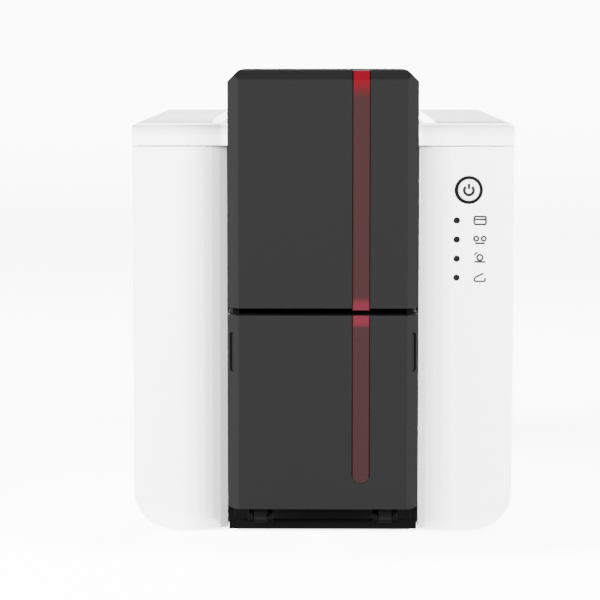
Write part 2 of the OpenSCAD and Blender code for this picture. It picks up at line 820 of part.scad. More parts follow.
module hopper_window() {
  y0 = -feed_front;
  color(RED) intersection() {
    xz(y0 + 0.25, y0 + hood_t) strip_view(-0.05);
    box(0, feed_x, y0, y0 + 5, 0, door_top - 0.1);
  }
}

module door_hinge_pins() {
  color(BLACK) both()
    xcyl(door_pin_r, knuckle_x - knuckle_w / 2 - 3, knuckle_x + knuckle_w / 2 + 3, -door_pin_y, door_pin_z);
}

// --- control panel ---

panel_board_y = front + 10;
panel_bosses = [for (x = [light_x - 7.2, half_w - 7.5]) for (z = [light_z - 6.8, button_z + 9.4]) [x, z]];

module button_ring() {
  color(BLACK) difference() {
    union() {
      ycyl(ring_r, front - 0.3, front + wall + 1, button_x, button_z);
      ycyl(ring_r + 2, front + wall + 0.4, panel_board_y, button_x, button_z);
    }
    ycyl(ring_in, front - 1, panel_board_y + 1, button_x, button_z);
    ycyl(ring_r - 0.1, front + 4, panel_board_y + 1, button_x, button_z);
  }
}

module power_button() {
  color(WHITE) {
    ycyl(button_r, front - 0.1, front + 5.2, button_x, button_z);
    ycyl(ring_r - 0.3, front + 4, front + 5.2, button_x, button_z);
    ycyl(2, front + 5, panel_board_y - 1.4 - button_travel, button_x, button_z);
  }
}

module status_lights() {
  color([0.05, 0.07, 0.06]) for (i = [0:3])
    ycyl(light_r, front + 0.1, panel_board_y, light_x, light_z + i * light_pitch);
}

module panel_board() {
  color(BOARD) {
    box(light_x - 10.2, half_w - 4.5, panel_board_y, panel_board_y + 1.6, light_z - 9.8, button_z + 13.4);
    box(button_x - 3, button_x + 3, panel_board_y - 1.4, panel_board_y + e, button_z - 3, button_z + 3);
  }
}

// --- drives ---

module axle(i) {
  xcyl(shaft_r, -gear_x - 0.5, plate_x + plate_t + 1, rollers_y[i], axle_z);
  gear(roller_teeth, add_small, 0, rollers_y[i], axle_z, 0);
  xcyl(shaft_r + 1.2, -plate_x + 1.6, plate_x - 1.6, rollers_y[i], axle_z);
}

module sleeve(i, w) {
  difference() {
    xcyl(roller_r, -w, w, rollers_y[i], axle_z);
    xcyl(shaft_r + 1.22, -w - 1, w + 1, rollers_y[i], axle_z);
  }
}

module feed_axle() {
  color(ACETAL) axle(0);
}

module feed_roller() {
  color(RUBBER) sleeve(0, 20);
}

module platen_axle() {
  color(ACETAL) axle(3);
}

module platen_roller() {
  color(RUBBER) sleeve(3, 26.5);
}

module transport(i) {
  axle(i);
  xcyl(roller_r, -26, -10, rollers_y[i], axle_z);
  xcyl(roller_r, 10, 26, rollers_y[i], axle_z);
}

module transport_roller_1() {
  color(RUBBER) transport(1);
}

module transport_roller_2() {
  color(RUBBER) transport(2);
}

module transport_roller_3() {
  color(RUBBER) transport(4);
}

module idler(i) {
  gear(idler_teeth, add_idler, 9, idlers_y[i], axle_z, shaft_r + run);
}

module idler_1() {
  color(ACETAL) idler(0);
}

module idler_2() {
  color(ACETAL) idler(1);
}

module idler_3() {
  color(ACETAL) idler(2);
}

module idler_4() {
  color(ACETAL) idler(3);
}

module motor_pinion() {
  color(STEEL) {
    gear(pinion_teeth, add_small, 18, drive_y, pinion_z, 0);
    xcyl(2.5, -bracket_x - 3, -gear_x1 + 0.2, drive_y, pinion_z);
  }
}

module takeup_pinion() {
  color(STEEL) {
    gear(pinion_teeth, add_small, 0, takeup_y, takeup_pinion_z, 0);
    xcyl(2, -bracket_x - 3, -gear_x1 + 0.2, takeup_y, takeup_pinion_z);
  }
}

module motor_brackets() {
  x0 = -bracket_x - 1.5;
  color(STEEL) {
    difference() {
      box(x0, -bracket_x, -50, 6, 94, 145);
      xcyl(11.2, x0 - 1, -bracket_x + 1, drive_y, pinion_z);
    }
    for (y = [-46, 2]) for (z = [98, 113]) xcyl(3, -bracket_x - e, -plate_x - plate_t, y, z);
    difference() {
      box(x0, -bracket_x, -74, -38, 146.5, 173);
      xcyl(5, x0 - 1, -bracket_x + 1, takeup_y, takeup_pinion_z);
    }
    for (y = [-71, -41]) xcyl(2.5, -bracket_x - e, -plate_x - plate_t, y, 153);
  }
}

module motor_can(y, z, half, long, boss, shaft) {
  x1 = -bracket_x - 1.5;
  difference() {
    union() {
      intersection() {
        box(x1 - long, x1, y - half, y + half, z - half, z + half);
        xcyl(half * 1.28, x1 - long, x1, y, z);
      }
      xcyl(boss, x1 - e, x1 + 1.4, y, z);
    }
    xcyl(shaft + run, x1 - 3, x1 + 2, y, z);
  }
}

module main_motor() {
  color(GREY) motor_can(drive_y, pinion_z, 21, 34, 11, 2.5);
}

module ribbon_motor() {
  color(GREY) motor_can(takeup_y, takeup_pinion_z, 12, 22, 4.8, 2);
}

// --- ribbon and print head ---

module spool(y, r) {
  xcyl(hub_r, -gear_x - 0.5, plate_x + plate_t + 1.5, y, spool_z);
  xcyl(core_r, -plate_x + 0.5, plate_x - 0.5, y, spool_z);
  xcyl(r, -27.5, 27.5, y, spool_z);
}

module takeup_spool() {
  color([0.13, 0.13, 0.15]) {
    spool(takeup_y, takeup_r);
    gear(takeup_teeth, add_takeup, 0, takeup_y, spool_z, 0);
  }
}

module supply_spool() {
  color([0.13, 0.13, 0.15]) spool(supply_y, supply_r);
}

module ribbon_film() {
  z0 = roll_top + 0.15;
  t = 0.12;
  color([0.2, 0.18, 0.08]) yz(-27, 27) polygon([
    [takeup_y + 6.4, spool_z - 6.5], [platen_y - 8, z0], [platen_y + 12, z0],
    [supply_y - 9.9, spool_z - 10.1], [supply_y - 9.9 + t, spool_z - 10.1 - t],
    [platen_y + 12 + t, z0 - t + 0.05], [platen_y - 8 - t, z0 - t + 0.05],
    [takeup_y + 6.4 - t, spool_z - 6.5 - t]]);
}

module print_head() {
  color([0.30, 0.24, 0.20]) {
    box(-28.5, 28.5, platen_y - 5, platen_y + 5, head_z + 0.6, head_z + 8);
    xcyl(0.8, -28, 28, platen_y, head_z + 0.8);
  }
}

module head_heatsink() {
  z0 = head_z + 8;
  color(STEEL) {
    box(-29, 29, platen_y - 8, platen_y + 8, z0, z0 + 3);
    for (i = [0:6]) box(-29 + i * 9.4, -27.4 + i * 9.4, platen_y - 8, platen_y + 8, z0 + 3 - e, z0 + 18);
  }
}

module cover_frame() {
  z0 = head_z + 26;
  z1 = body_h - recess_d - wall;
  color(STEEL) {
    box(-29, 29, platen_y - 8, platen_y + 8, z0, z0 + 2);
    both() box(25, 29, platen_y - 7, platen_y + 7, z0 + 2 - e, z1 - 2 + e);
    box(-50, 50, platen_y - 14, platen_y + 40, z1 - 2, z1);
  }
}

module cleaning_roller() {
  color([0.20, 0.35, 0.60]) {
    xcyl(upper_shaft_r, -plate_x - plate_t, plate_x + plate_t, rollers_y[1], upper_z);
    xcyl(upper_r, -27, 27, rollers_y[1], upper_z);
  }
}

module pinch_roller() {
  color(RUBBER) {
    xcyl(upper_shaft_r, -plate_x - plate_t, plate_x + plate_t, rollers_y[2], upper_z);
    xcyl(upper_r, -26, -10, rollers_y[2], upper_z);
    xcyl(upper_r, 10, 26, rollers_y[2], upper_z);
    xcyl(3, -10, 10, rollers_y[2], upper_z);
  }
}

flap_y = platen_y - 1.5 * pitch_y - 8;
flap_z = card_z - 4.4;

module diverter_flap() {
  z1 = card_z - 0.5;
  color(GREY) {
    xcyl(1.5, -plate_x - plate_t, plate_x + plate_t, flap_y, flap_z);
    box(-28, 28, flap_y - 1.5, platen_y - pitch_y - 8, z1 - 2, z1);
    box(-28, 28, flap_y - 1.5, flap_y + 1.5, flap_z, z1);
  }
}

// --- electronics at the back ---

board_z = 14;
board_t = 1.6;
board_x0 = plate_x + plate_t + 4;
board_x1 = half_w - 7.5;
board_posts = [for (x = [board_x0 + 4, half_w - 27.5]) for (y = [66, 160]) [x, y]];
sockets = [for (s = [[55.5, 12, 26.6], [37.5, 16, 29.2], [17.5, 9, 26.6]])
  [half_w - s[0], half_w - s[0] + s[1], s[2]]];
fan_x = 35.5 - half_w;
fan_z = 150;
fan_points = [for (a = [-16, 16]) for (b = [-16, 16]) [fan_x + a, fan_z + b]];
rear_points = [
  [13.5 - half_w, deck_z - 10], [half_w - 13.5, deck_z - 10], [31.5 - half_w, 14], [half_w - 71.5, 14]];

module main_board() {
  color(BOARD) {
    box(board_x0, board_x1, 60, 168, board_z, board_z + board_t);
    box(board_x0 + 12, board_x0 + 34, 90, 112, board_z + board_t - e, board_z + board_t + 2.4);
    box(board_x0 + 38, board_x0 + 48, 90, 120, board_z + board_t - e, board_z + board_t + 1.4);
    for (i = [0:2]) zcyl(4, board_z + board_t - e, board_z + board_t + 13, board_x0 + 9 + i * 10, 74);
  }
}

module socket_body(s, y0) {
  box(s[0], s[1], y0, panel_y + panel_t, board_z + board_t, s[2]);
}

module usb_socket() {
  s = sockets[0];
  m = (s[0] + s[1]) / 2;
  z = (board_z + board_t + s[2]) / 2;
  color(STEEL) {
    difference() {
      socket_body(s, 166);
      box(m - 4.2, m + 4.2, 176, back, z - 3.9, z + 3.9);
    }
    box(m - 2.8, m + 2.8, 175.9, 184.5, z - 1.6, z + 1.6);
  }
}

module network_socket() {
  s = sockets[1];
  m = (s[0] + s[1]) / 2;
  color(GREY) difference() {
    socket_body(s, 166);
    box(m - 6, m + 6, 173, back, 18.2, 25);
    box(m - 3, m + 3, 173, back, 24.9, 27.4);
  }
}

module power_socket() {
  s = sockets[2];
  m = (s[0] + s[1]) / 2;
  color(BLACK) {
    difference() {
      socket_body(s, 166);
      ycyl(3.2, 176, back, m, 21.1);
    }
    ycyl(1, 175.9, 185, m, 21.1);
  }
}

module fan_frame() {
  color(BLACK) {
    difference() {
      box(fan_x - 20, fan_x + 20, panel_y - 10, panel_y, fan_z - 20, fan_z + 20);
      ycyl(18.8, panel_y - 11, panel_y + 1, fan_x, fan_z);
      for (p = fan_points) ycyl(1.5, panel_y - 11, panel_y + 1, p[0], p[1]);
    }
    ycyl(9, panel_y - 10, panel_y - 8.6, fan_x, fan_z);
    ycyl(1, panel_y - 9, panel_y - 2, fan_x, fan_z);
    for (a = [0:90:270]) translate([fan_x, 0, fan_z]) rotate([0, a + 45, 0])
      box(8, 19.4, panel_y - 10, panel_y - 8.6, -1, 1);
  }
}

module fan_rotor() {
  color(BLACK) difference() {
    union() {
      ycyl(8.5, panel_y - 8, panel_y - 0.6, fan_x, fan_z);
      for (a = [0:45:315]) translate([fan_x, panel_y - 4.3, fan_z]) rotate([0, a, 0])
        translate([8, 0, 0]) rotate([35, 0, 0]) translate([0, -0.5, -3.2]) cube([10, 1, 6.4]);
    }
    ycyl(1 + run, panel_y - 9, panel_y - 1.9, fan_x, fan_z);
  }
}

module reject_tray() {
  y0 = 80;
  y1 = panel_y + panel_t;
  t = 1.8;
  color(BLACK) difference() {
    union() {
      box(-tray_x, tray_x, y0, y1, tray_z, tray_z + tray_h);
      box(-tray_x, tray_x, y1 - e, y1 + 1.5, tray_z, tray_z + tray_h);
    }
    box(-tray_x + t, tray_x - t, y0 - 1, y1 - t, tray_z + t, tray_z + tray_h + 1);
    box(-12, 12, y1 - 1, y1 + 2, tray_z + tray_h - 6, tray_z + tray_h + 1);
  }
}

// --- screws ---

module rear_screws() {
  color(STEEL) for (p = concat(rear_points, fan_points)) {
    ycyl(1.5, panel_y - 6, panel_y + panel_t + e, p[0], p[1]);
    difference() {
      ycyl(2.8, panel_y + panel_t, panel_y + panel_t + 1.6, p[0], p[1]);
      box(p[0] - 0.4, p[0] + 0.4, panel_y + panel_t + 1, back + 1, p[1] - 2, p[1] + 2);
      box(p[0] - 2, p[0] + 2, panel_y + panel_t + 1, back + 1, p[1] - 0.4, p[1] + 0.4);
    }
  }
}

module chassis_screws() {
  color(STEEL) for (x = [-plate_x - 5.5, plate_x + 5.5]) for (y = [plate_y0 + 7, plate_y1 - 12])
    zcyl(2.8, floor_z + plate_t, floor_z + plate_t + 1.6, x, y);
}

base_tray();
side_shell_left();
side_shell_right();
rear_panel();
inner_deck();
rubber_feet();
frame_plate_left();
frame_plate_right();
card_guide();
feeder_housing();
hopper_housing();
roller_bushes();
main_board();
usb_socket();
network_socket();
power_socket();
main_motor();
ribbon_motor();
motor_brackets();
fan_frame();
button_ring();
status_lights();
panel_board();
cover_hinge_pins();
feeder_hinge_pins();
door_hinge_pins();
chassis_screws();
rear_screws();
top_cover();
cover_frame();
print_head();
head_heatsink();
feeder_cover();
feeder_window();
hopper_door();
hopper_window();
power_button();
thickness_gauge();
card_weight();
feed_axle();
feed_roller();
platen_axle();
platen_roller();
transport_roller_1();
transport_roller_2();
transport_roller_3();
idler_1();
idler_2();
idler_3();
idler_4();
motor_pinion();
takeup_pinion();
takeup_spool();
supply_spool();
ribbon_film();
cleaning_roller();
pinch_roller();
fan_rotor();
reject_tray();
diverter_flap();
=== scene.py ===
import json
import math

import bmesh
import bpy
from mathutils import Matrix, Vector
from mathutils.bvhtree import BVHTree


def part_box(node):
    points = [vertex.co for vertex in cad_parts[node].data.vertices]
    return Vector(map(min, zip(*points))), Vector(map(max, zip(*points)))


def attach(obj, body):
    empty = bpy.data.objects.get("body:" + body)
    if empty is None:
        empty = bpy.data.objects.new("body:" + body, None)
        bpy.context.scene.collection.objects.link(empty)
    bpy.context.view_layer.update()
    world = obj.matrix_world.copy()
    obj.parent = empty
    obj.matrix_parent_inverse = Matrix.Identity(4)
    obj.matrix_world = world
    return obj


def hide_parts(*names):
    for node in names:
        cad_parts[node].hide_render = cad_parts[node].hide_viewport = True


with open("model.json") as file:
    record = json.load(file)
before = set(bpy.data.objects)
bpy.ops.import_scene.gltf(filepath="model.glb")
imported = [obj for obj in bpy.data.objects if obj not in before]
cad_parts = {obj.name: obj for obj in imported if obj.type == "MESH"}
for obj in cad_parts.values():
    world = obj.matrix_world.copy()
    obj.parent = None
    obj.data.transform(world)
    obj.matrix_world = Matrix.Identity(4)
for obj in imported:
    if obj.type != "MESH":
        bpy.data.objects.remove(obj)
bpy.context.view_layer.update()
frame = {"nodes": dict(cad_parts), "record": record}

MM = 0.001
scene = bpy.context.scene

# --- camera, light and floor: places and sizes in metres, angles in degrees, power in watts ---

CAMERA_PLACE = (0, -1.3855, 0.2614)
CAMERA_DOWN = 5.977
CAMERA_TURN = 0.542
CAMERA_LENS = 146.3
CAMERA_SENSOR = 36

PRINTER_MIDDLE = (0, -0.05, 0.12)
COVER_MIDDLE = (0, 0.1, 0.2)

# name, place, aim, width and height, power, and whether glossy parts mirror it
LAMPS = [
    ("front_bounce", (0.1, -1.7, 2.0), PRINTER_MIDDLE, (1.8, 1.0), 56, False),
    ("left_bounce", (-2.3, -1.25, 0.78), PRINTER_MIDDLE, (1.2, 0.8), 1150, False),
    ("right_bounce", (2.1, -1.5, 0.7), PRINTER_MIDDLE, (1.2, 0.8), 800, False),
    ("left_glint", (-1.9, -1.7, 1.0), PRINTER_MIDDLE, (1.6, 1.8), 36, True),
    ("right_glint", (1.9, -1.7, 0.9), PRINTER_MIDDLE, (1.6, 1.8), 20, True),
    ("rear_top_softbox", (-0.1, 0.9, 1.5), COVER_MIDDLE, (1.4, 0.8), 2, True),
]

# the room's brightness from straight down (0) to straight up (1): light near the horizon only
ROOM_TONES = [(0.0, 0.05), (0.30, 0.25), (0.42, 0.75), (0.52, 0.75), (0.62, 0.10), (1.0, 0.02)]
ROOM_STRENGTH = 1.2

FLOOR_HALF_WIDTH = 4
FLOOR_FRONT = -3.5
FLOOR_DEPTH = 5.5
SWEEP_STEPS = 12
SWEEP_STEP = 0.13
WALL_HEIGHT = 3.0
FLOOR_GLOW = 6.0


def set_camera():
    lens = bpy.data.cameras.new("front_view_lens")
    lens.sensor_width = CAMERA_SENSOR
    lens.lens = CAMERA_LENS
    lens.clip_start = 0.05
    lens.clip_end = 20
    eye = bpy.data.objects.new("front_view", lens)
    scene.collection.objects.link(eye)
    eye.location = CAMERA_PLACE
    eye.rotation_euler = (math.radians(90 - CAMERA_DOWN), 0, math.radians(CAMERA_TURN))
    scene.camera = eye


def soft_box(name, place, target, size, power, mirrored):
    lamp = bpy.data.lights.new(name, "AREA")
    lamp.shape = "RECTANGLE"
    lamp.size, lamp.size_y = size
    lamp.energy = power
    box = bpy.data.objects.new(name, lamp)
    scene.collection.objects.link(box)
    box.location = place
    box.visible_glossy = mirrored
    aim = Vector(target) - Vector(place)
    box.rotation_euler = aim.to_track_quat("-Z", "Y").to_euler()


def light_studio():
    """A pale room that is dark overhead and underfoot, so that black fronts stay black, and its lamps."""
    world = bpy.data.worlds.new("white_room")
    world.use_nodes = True
    tree = world.node_tree
    way = add(tree, "ShaderNodeTexCoord")
    axes = add(tree, "ShaderNodeSeparateXYZ", Vector=way.outputs["Generated"])
    ramp = add(tree, "ShaderNodeValToRGB", Fac=share(tree, axes.outputs["Z"], -1.0, 1.0))
    set_stops(ramp.color_ramp, [(place, (level, level, level)) for place, level in ROOM_TONES])
    glow = tree.nodes["Background"]
    tree.links.new(ramp.outputs["Color"], glow.inputs["Color"])
    glow.inputs["Strength"].default_value = ROOM_STRENGTH
    scene.world = world
    for lamp in LAMPS:
        soft_box(*lamp)


def lay_floor(finish):
    """A sheet that runs level behind the printer and sweeps up into a wall."""
    sheet = bmesh.new()
    start = [sheet.verts.new((x, FLOOR_FRONT, 0)) for x in (-FLOOR_HALF_WIDTH, FLOOR_HALF_WIDTH)]
    edges = pull_edges(sheet, [sheet.edges.new(start)], (0, FLOOR_DEPTH, 0))
    for i in range(SWEEP_STEPS):
        a = math.radians((i + 0.5) * 90 / SWEEP_STEPS)
        edges = pull_edges(sheet, edges, (0, SWEEP_STEP * math.cos(a), SWEEP_STEP * math.sin(a)))
    pull_edges(sheet, edges, (0, 0, WALL_HEIGHT))
    bmesh.ops.recalc_face_normals(sheet, faces=sheet.faces)
    floor = piece_from(sheet, "studio_floor", finish)
    for face in floor.data.polygons:
        face.use_smooth = True
    floor.visible_glossy = False
    floor.visible_diffuse = False


# --- node helpers ---

def feed(tree, socket, value):
    """Links a socket to another node's output, or sets the socket's own value."""
    if isinstance(value, bpy.types.NodeSocket):
        tree.links.new(value, socket)
    else:
        socket.default_value = value


def add(tree, kind, settings=None, **sockets):
    node = tree.nodes.new(kind)
    for key, value in (settings or {}).items():
        setattr(node, key, value)
    for key, value in sockets.items():
        feed(tree, node.inputs[key], value)
    return node


def maths(tree, operation, *values):
    node = add(tree, "ShaderNodeMath", {"operation": operation})
    for socket, value in zip(node.inputs, values):
        feed(tree, socket, value)
    return node.outputs[0]


def share(tree, value, low, high):
    """How far a value has come from low to high, kept between 0 and 1."""
    node = add(tree, "ShaderNodeMapRange", Value=value)
    node.inputs["From Min"].default_value = low
    node.inputs["From Max"].default_value = high
    return node.outputs["Result"]


def mix_colors(tree, factor, first, second):
    node = add(tree, "ShaderNodeMix", {"data_type": "RGBA"})
    for place, value in ((0, factor), (6, first), (7, second)):
        feed(tree, node.inputs[place], value)
    return node.outputs[2]


def set_stops(ramp, stops):
    while len(ramp.elements) < len(stops):
        ramp.elements.new(0.5)
    for element, (place, color) in zip(ramp.elements, stops):
        element.position = place
        element.color = (*color, 1)


def new_group(name, inputs):
    """A node group that takes a place and values, and puts out a colour, a roughness and a normal."""
    tree = bpy.data.node_groups.new(name, "ShaderNodeTree")
    tree.interface.new_socket(name="Place", in_out="INPUT", socket_type="NodeSocketVector")
    for label, kind, value in inputs:
        socket = tree.interface.new_socket(name=label, in_out="INPUT", socket_type="NodeSocket" + kind)
        socket.default_value = value
    for label, kind in (("Color", "Color"), ("Roughness", "Float"), ("Normal", "Vector")):
        tree.interface.new_socket(name=label, in_out="OUTPUT", socket_type="NodeSocket" + kind)
    start = tree.nodes.new("NodeGroupInput")
    end = tree.nodes.new("NodeGroupOutput")
    return tree, start.outputs, end.inputs


# --- shader groups shared by the finishes: scales per metre, heights in metres ---

TONE_SCALE = 14.0
SPECK_SCALE = 900.0
SPECK_EDGE = (0.10, 0.04)
DUST_TONE = (0.42, 0.40, 0.37, 1)
GRAIN_HEIGHT = 0.00006

SCRATCH_SCALE = (120.0, 2600.0, 2600.0)
TARNISH_SCALE = 40.0
TARNISH = 0.12
TARNISH_TONE = (0.02, 0.02, 0.02, 1)
SCRATCH_ROUGHNESS = 0.18
SCRATCH_HEIGHT = 0.00003


def moulded_group():
    """Fine spark-eroded grain of a moulded part, with a slow drift of tone and a little dust."""
    tree, given, result = new_group("moulded_surface", [
        ("Color", "Color", (0.5, 0.5, 0.5, 1)), ("Tone Drift", "Float", 0.04), ("Roughness", "Float", 0.45),
        ("Sheen Drift", "Float", 0.08), ("Grain Scale", "Float", 2600.0), ("Grain Depth", "Float", 0.25),
        ("Dust", "Float", 0.03)])
    slow = add(tree, "ShaderNodeTexNoise", Vector=given["Place"], Scale=TONE_SCALE, Detail=3.0)
    fine = add(tree, "ShaderNodeTexNoise", Vector=given["Place"], Scale=given["Grain Scale"], Detail=2.0)
    dark = mix_colors(tree, given["Tone Drift"], given["Color"], (0, 0, 0, 1))
    tone = mix_colors(tree, slow.outputs["Fac"], dark, given["Color"])
    specks = add(tree, "ShaderNodeTexVoronoi", Vector=given["Place"], Scale=SPECK_SCALE)
    spot = share(tree, specks.outputs["Distance"], *SPECK_EDGE)
    dusty = mix_colors(tree, maths(tree, "MULTIPLY", spot, given["Dust"]), tone, DUST_TONE)
    tree.links.new(dusty, result["Color"])
    sheen = maths(tree, "MULTIPLY_ADD", slow.outputs["Fac"], given["Sheen Drift"], given["Roughness"])
    tree.links.new(sheen, result["Roughness"])
    bump = add(tree, "ShaderNodeBump", Height=fine.outputs["Fac"], Strength=given["Grain Depth"],
               Distance=GRAIN_HEIGHT)
    tree.links.new(bump.outputs["Normal"], result["Normal"])
    return tree


def drawn_group():
    """Drawn metal: long thin scratches along one way, and a drift of tone."""
    tree, given, result = new_group("drawn_metal", [
        ("Color", "Color", (0.6, 0.6, 0.6, 1)), ("Roughness", "Float", 0.3), ("Scratch Depth", "Float", 0.2)])
    stretch = add(tree, "ShaderNodeMapping", Vector=given["Place"], Scale=SCRATCH_SCALE)
    lines = add(tree, "ShaderNodeTexNoise", Vector=stretch.outputs["Vector"], Scale=1.0, Detail=2.0)
    slow = add(tree, "ShaderNodeTexNoise", Vector=given["Place"], Scale=TARNISH_SCALE, Detail=2.0)
    dark = mix_colors(tree, TARNISH, given["Color"], TARNISH_TONE)
    tree.links.new(mix_colors(tree, slow.outputs["Fac"], dark, given["Color"]), result["Color"])
    rough = maths(tree, "MULTIPLY_ADD", lines.outputs["Fac"], SCRATCH_ROUGHNESS, given["Roughness"])
    tree.links.new(rough, result["Roughness"])
    bump = add(tree, "ShaderNodeBump", Height=lines.outputs["Fac"], Strength=given["Scratch Depth"],
               Distance=SCRATCH_HEIGHT)
    tree.links.new(bump.outputs["Normal"], result["Normal"])
    return tree


MOULDED = moulded_group()
DRAWN = drawn_group()


# --- finishes ---

# how strongly a finish mirrors the room, from the most to the least
SATIN = {"Specular IOR Level": 0.45}
MATT = {"Specular IOR Level": 0.2}
SMOKED = {"Specular IOR Level": 0.12}
DULL = {"Specular IOR Level": 0.08}


def material(name, group, values, fixed, color=None):
    """A finish from a shader group. A colour that changes over the surface is given by its own function."""
    finish = bpy.data.materials.new(name)
    finish.use_nodes = True
    tree = finish.node_tree
    shader = tree.nodes["Principled BSDF"]
    place = add(tree, "ShaderNodeTexCoord").outputs["Object"]
    surface = add(tree, "ShaderNodeGroup", {"node_tree": group}, Place=place)
    for key, value in values.items():
        surface.inputs[key].default_value = value
    if color:
        tree.links.new(color(tree, place), surface.inputs["Color"])
    tree.links.new(surface.outputs["Color"], shader.inputs["Base Color"])
    tree.links.new(surface.outputs["Roughness"], shader.inputs["Roughness"])
    tree.links.new(surface.outputs["Normal"], shader.inputs["Normal"])
    for key, value in fixed.items():
        shader.inputs[key].default_value = value
    finish.diffuse_color = values["Color"]
    return finish


def plastic(name, tone, rough, grain=0.25, scale=2600.0, drift=0.04, dust=0.0, color=None, **fixed):
    return material(name, MOULDED, {
        "Color": (*tone, 1), "Roughness": rough, "Grain Depth": grain, "Grain Scale": scale,
        "Tone Drift": drift, "Dust": dust}, fixed, color)


def metal(name, tone, rough, depth=0.2):
    return material(name, DRAWN, {"Color": (*tone, 1), "Roughness": rough, "Scratch Depth": depth},
                    {"Metallic": 1.0})


def make_finishes():
    """One finish for each material slot of the record."""
    return {
        "white_shell": plastic("white_satin_shell", (0.83, 0.83, 0.825), 0.36,
                               grain=0.10, scale=2200.0, drift=0.012),
        "black_shell": plastic("black_grained_shell", (0.0024, 0.0024, 0.0025), 0.30,
                               grain=0.22, scale=2800.0, drift=0.10, **SATIN),
        # also used as painted shade on the black module's parts that sit in shade
        "black_inner": plastic("black_inner_and_shade_moulding", (0.0015, 0.0015, 0.0016), 0.5,
                               grain=0.35, scale=1800.0, drift=0.15, **DULL),
        "grey_plastic": plastic("grey_inner_moulding", (0.16, 0.165, 0.175), 0.5,
                                grain=0.3, scale=1900.0, drift=0.03, dust=0.03),
        "red_window": plastic("smoked_red_window", WINDOW_DULL, 0.16,
                              grain=0.03, scale=500.0, drift=0.02, color=window_painted_light_color, **SMOKED),
        "button": plastic("pale_button", (0.70, 0.70, 0.70), 0.35, grain=0.1, scale=2400.0, drift=0.01),
        "ring": plastic("black_button_ring", (0.003, 0.003, 0.003), 0.25,
                        grain=0.05, scale=2400.0, drift=0.05, **MATT),
        "light": plastic("smoked_status_light", (0.004, 0.005, 0.0045), 0.12,
                         grain=0.02, scale=2000.0, drift=0.002, **MATT),
        "steel": metal("turned_steel", (0.56, 0.57, 0.58), 0.28),
        "sheet_steel": metal("zinc_sheet", (0.50, 0.51, 0.52), 0.38, depth=0.12),
        "alloy": metal("extruded_alloy", (0.72, 0.72, 0.73), 0.32, depth=0.25),
        "black_pin": plastic("blackened_pin", (0.006, 0.006, 0.006), 0.4,
                             grain=0.1, scale=2000.0, drift=0.01),
        "motor": plastic("dark_motor_can", (0.03, 0.03, 0.032), 0.35,
                         grain=0.2, scale=1500.0, drift=0.02, dust=0.02, Metallic=0.4),
        "rubber": plastic("black_rubber", (0.012, 0.012, 0.012), 0.75,
                          grain=0.5, scale=1400.0, drift=0.01, dust=0.05),
        "cleaning": plastic("tacky_blue_sleeve", (0.03, 0.10, 0.34), 0.3,
                            grain=0.05, scale=900.0, drift=0.05, dust=0.04),
        "acetal": plastic("cream_acetal", (0.70, 0.68, 0.60), 0.42,
                          grain=0.12, scale=1700.0, drift=0.03, dust=0.02),
        "spool": plastic("black_spool", (0.02, 0.02, 0.026), 0.35, grain=0.1, scale=1500.0, drift=0.02),
        "film": plastic("dye_film", (0.06, 0.045, 0.02), 0.12, grain=0.02, scale=600.0, drift=0.1),
        "board": plastic("green_lacquered_board", (0.012, 0.10, 0.04), 0.3,
                         grain=0.2, scale=700.0, drift=0.08, dust=0.02),
        "ceramic": plastic("glazed_head", (0.17, 0.10, 0.06), 0.2, grain=0.05, scale=1200.0, drift=0.05),
        "metal_socket": metal("plated_socket", (0.70, 0.70, 0.70), 0.22, depth=0.1),
        "socket": plastic("black_socket", (0.02, 0.02, 0.02), 0.4, grain=0.2, scale=1800.0, drift=0.02),
    }


def ink_finish():
    return plastic("grey_pad_print", (0.005, 0.005, 0.0055), 0.5, grain=0.05, scale=1500.0, drift=0.02)


def floor_finish():
    glow = {"Emission Color": (1, 1, 1, 1), "Emission Strength": FLOOR_GLOW, "Specular IOR Level": 0.1}
    return plastic("pale_floor", (0.93, 0.93, 0.93), 0.7, grain=0.0, scale=100.0, drift=0.005, **glow)


# --- the smoked red window: painted highlights where its edges catch light, at the top and beside the gap, and painted shade along its sides ---

WINDOW_FOOT = 30 * MM
WINDOW_TOP = 250 * MM
WINDOW_MIDDLE = 18.8 * MM
WINDOW_RIM = (3.8 * MM, 4.1 * MM)
WINDOW_LOW = (0.0084, 0.0036, 0.0039)
WINDOW_DULL = (0.0086, 0.0036, 0.0037)
WINDOW_PAINTED_GLOW = (0.025, 0.0034, 0.0060)
WINDOW_PAINTED_TOP_LIGHT = (0.031, 0.0008, 0.0022)
RIM_PAINTED_SHADE = (0.0055, 0.0006, 0.0008, 1)

# height in mm, and the tone there; the glow and top-light tones are painted highlights
WINDOW_BANDS = [
    (30, WINDOW_LOW), (122.5, WINDOW_LOW), (124, WINDOW_PAINTED_GLOW), (134.5, WINDOW_PAINTED_GLOW),
    (137.5, WINDOW_DULL), (236, WINDOW_DULL), (243.5, WINDOW_PAINTED_TOP_LIGHT), (250, WINDOW_PAINTED_TOP_LIGHT),
]


def window_painted_light_color(tree, place):
    axes = add(tree, "ShaderNodeSeparateXYZ", Vector=place)
    # bands up the window, with painted highlights at the top and beside the gap
    bands = add(tree, "ShaderNodeValToRGB", Fac=share(tree, axes.outputs["Z"], WINDOW_FOOT, WINDOW_TOP))
    set_stops(bands.color_ramp, [((z * MM - WINDOW_FOOT) / (WINDOW_TOP - WINDOW_FOOT), tone)
                                 for z, tone in WINDOW_BANDS])
    off = maths(tree, "SUBTRACT", axes.outputs["X"], WINDOW_MIDDLE)
    rim = share(tree, maths(tree, "ABSOLUTE", off), *WINDOW_RIM)
    # past the rim the window's sides take a darker tone: painted shade
    return mix_colors(tree, rim, bands.outputs["Color"], RIM_PAINTED_SHADE)


# --- mesh helpers ---

def piece_from(shape, name, finish):
    mesh = bpy.data.meshes.new(name)
    shape.to_mesh(mesh)
    shape.free()
    item = bpy.data.objects.new(name, mesh)
    scene.collection.objects.link(item)
    mesh.materials.append(finish)
    return item


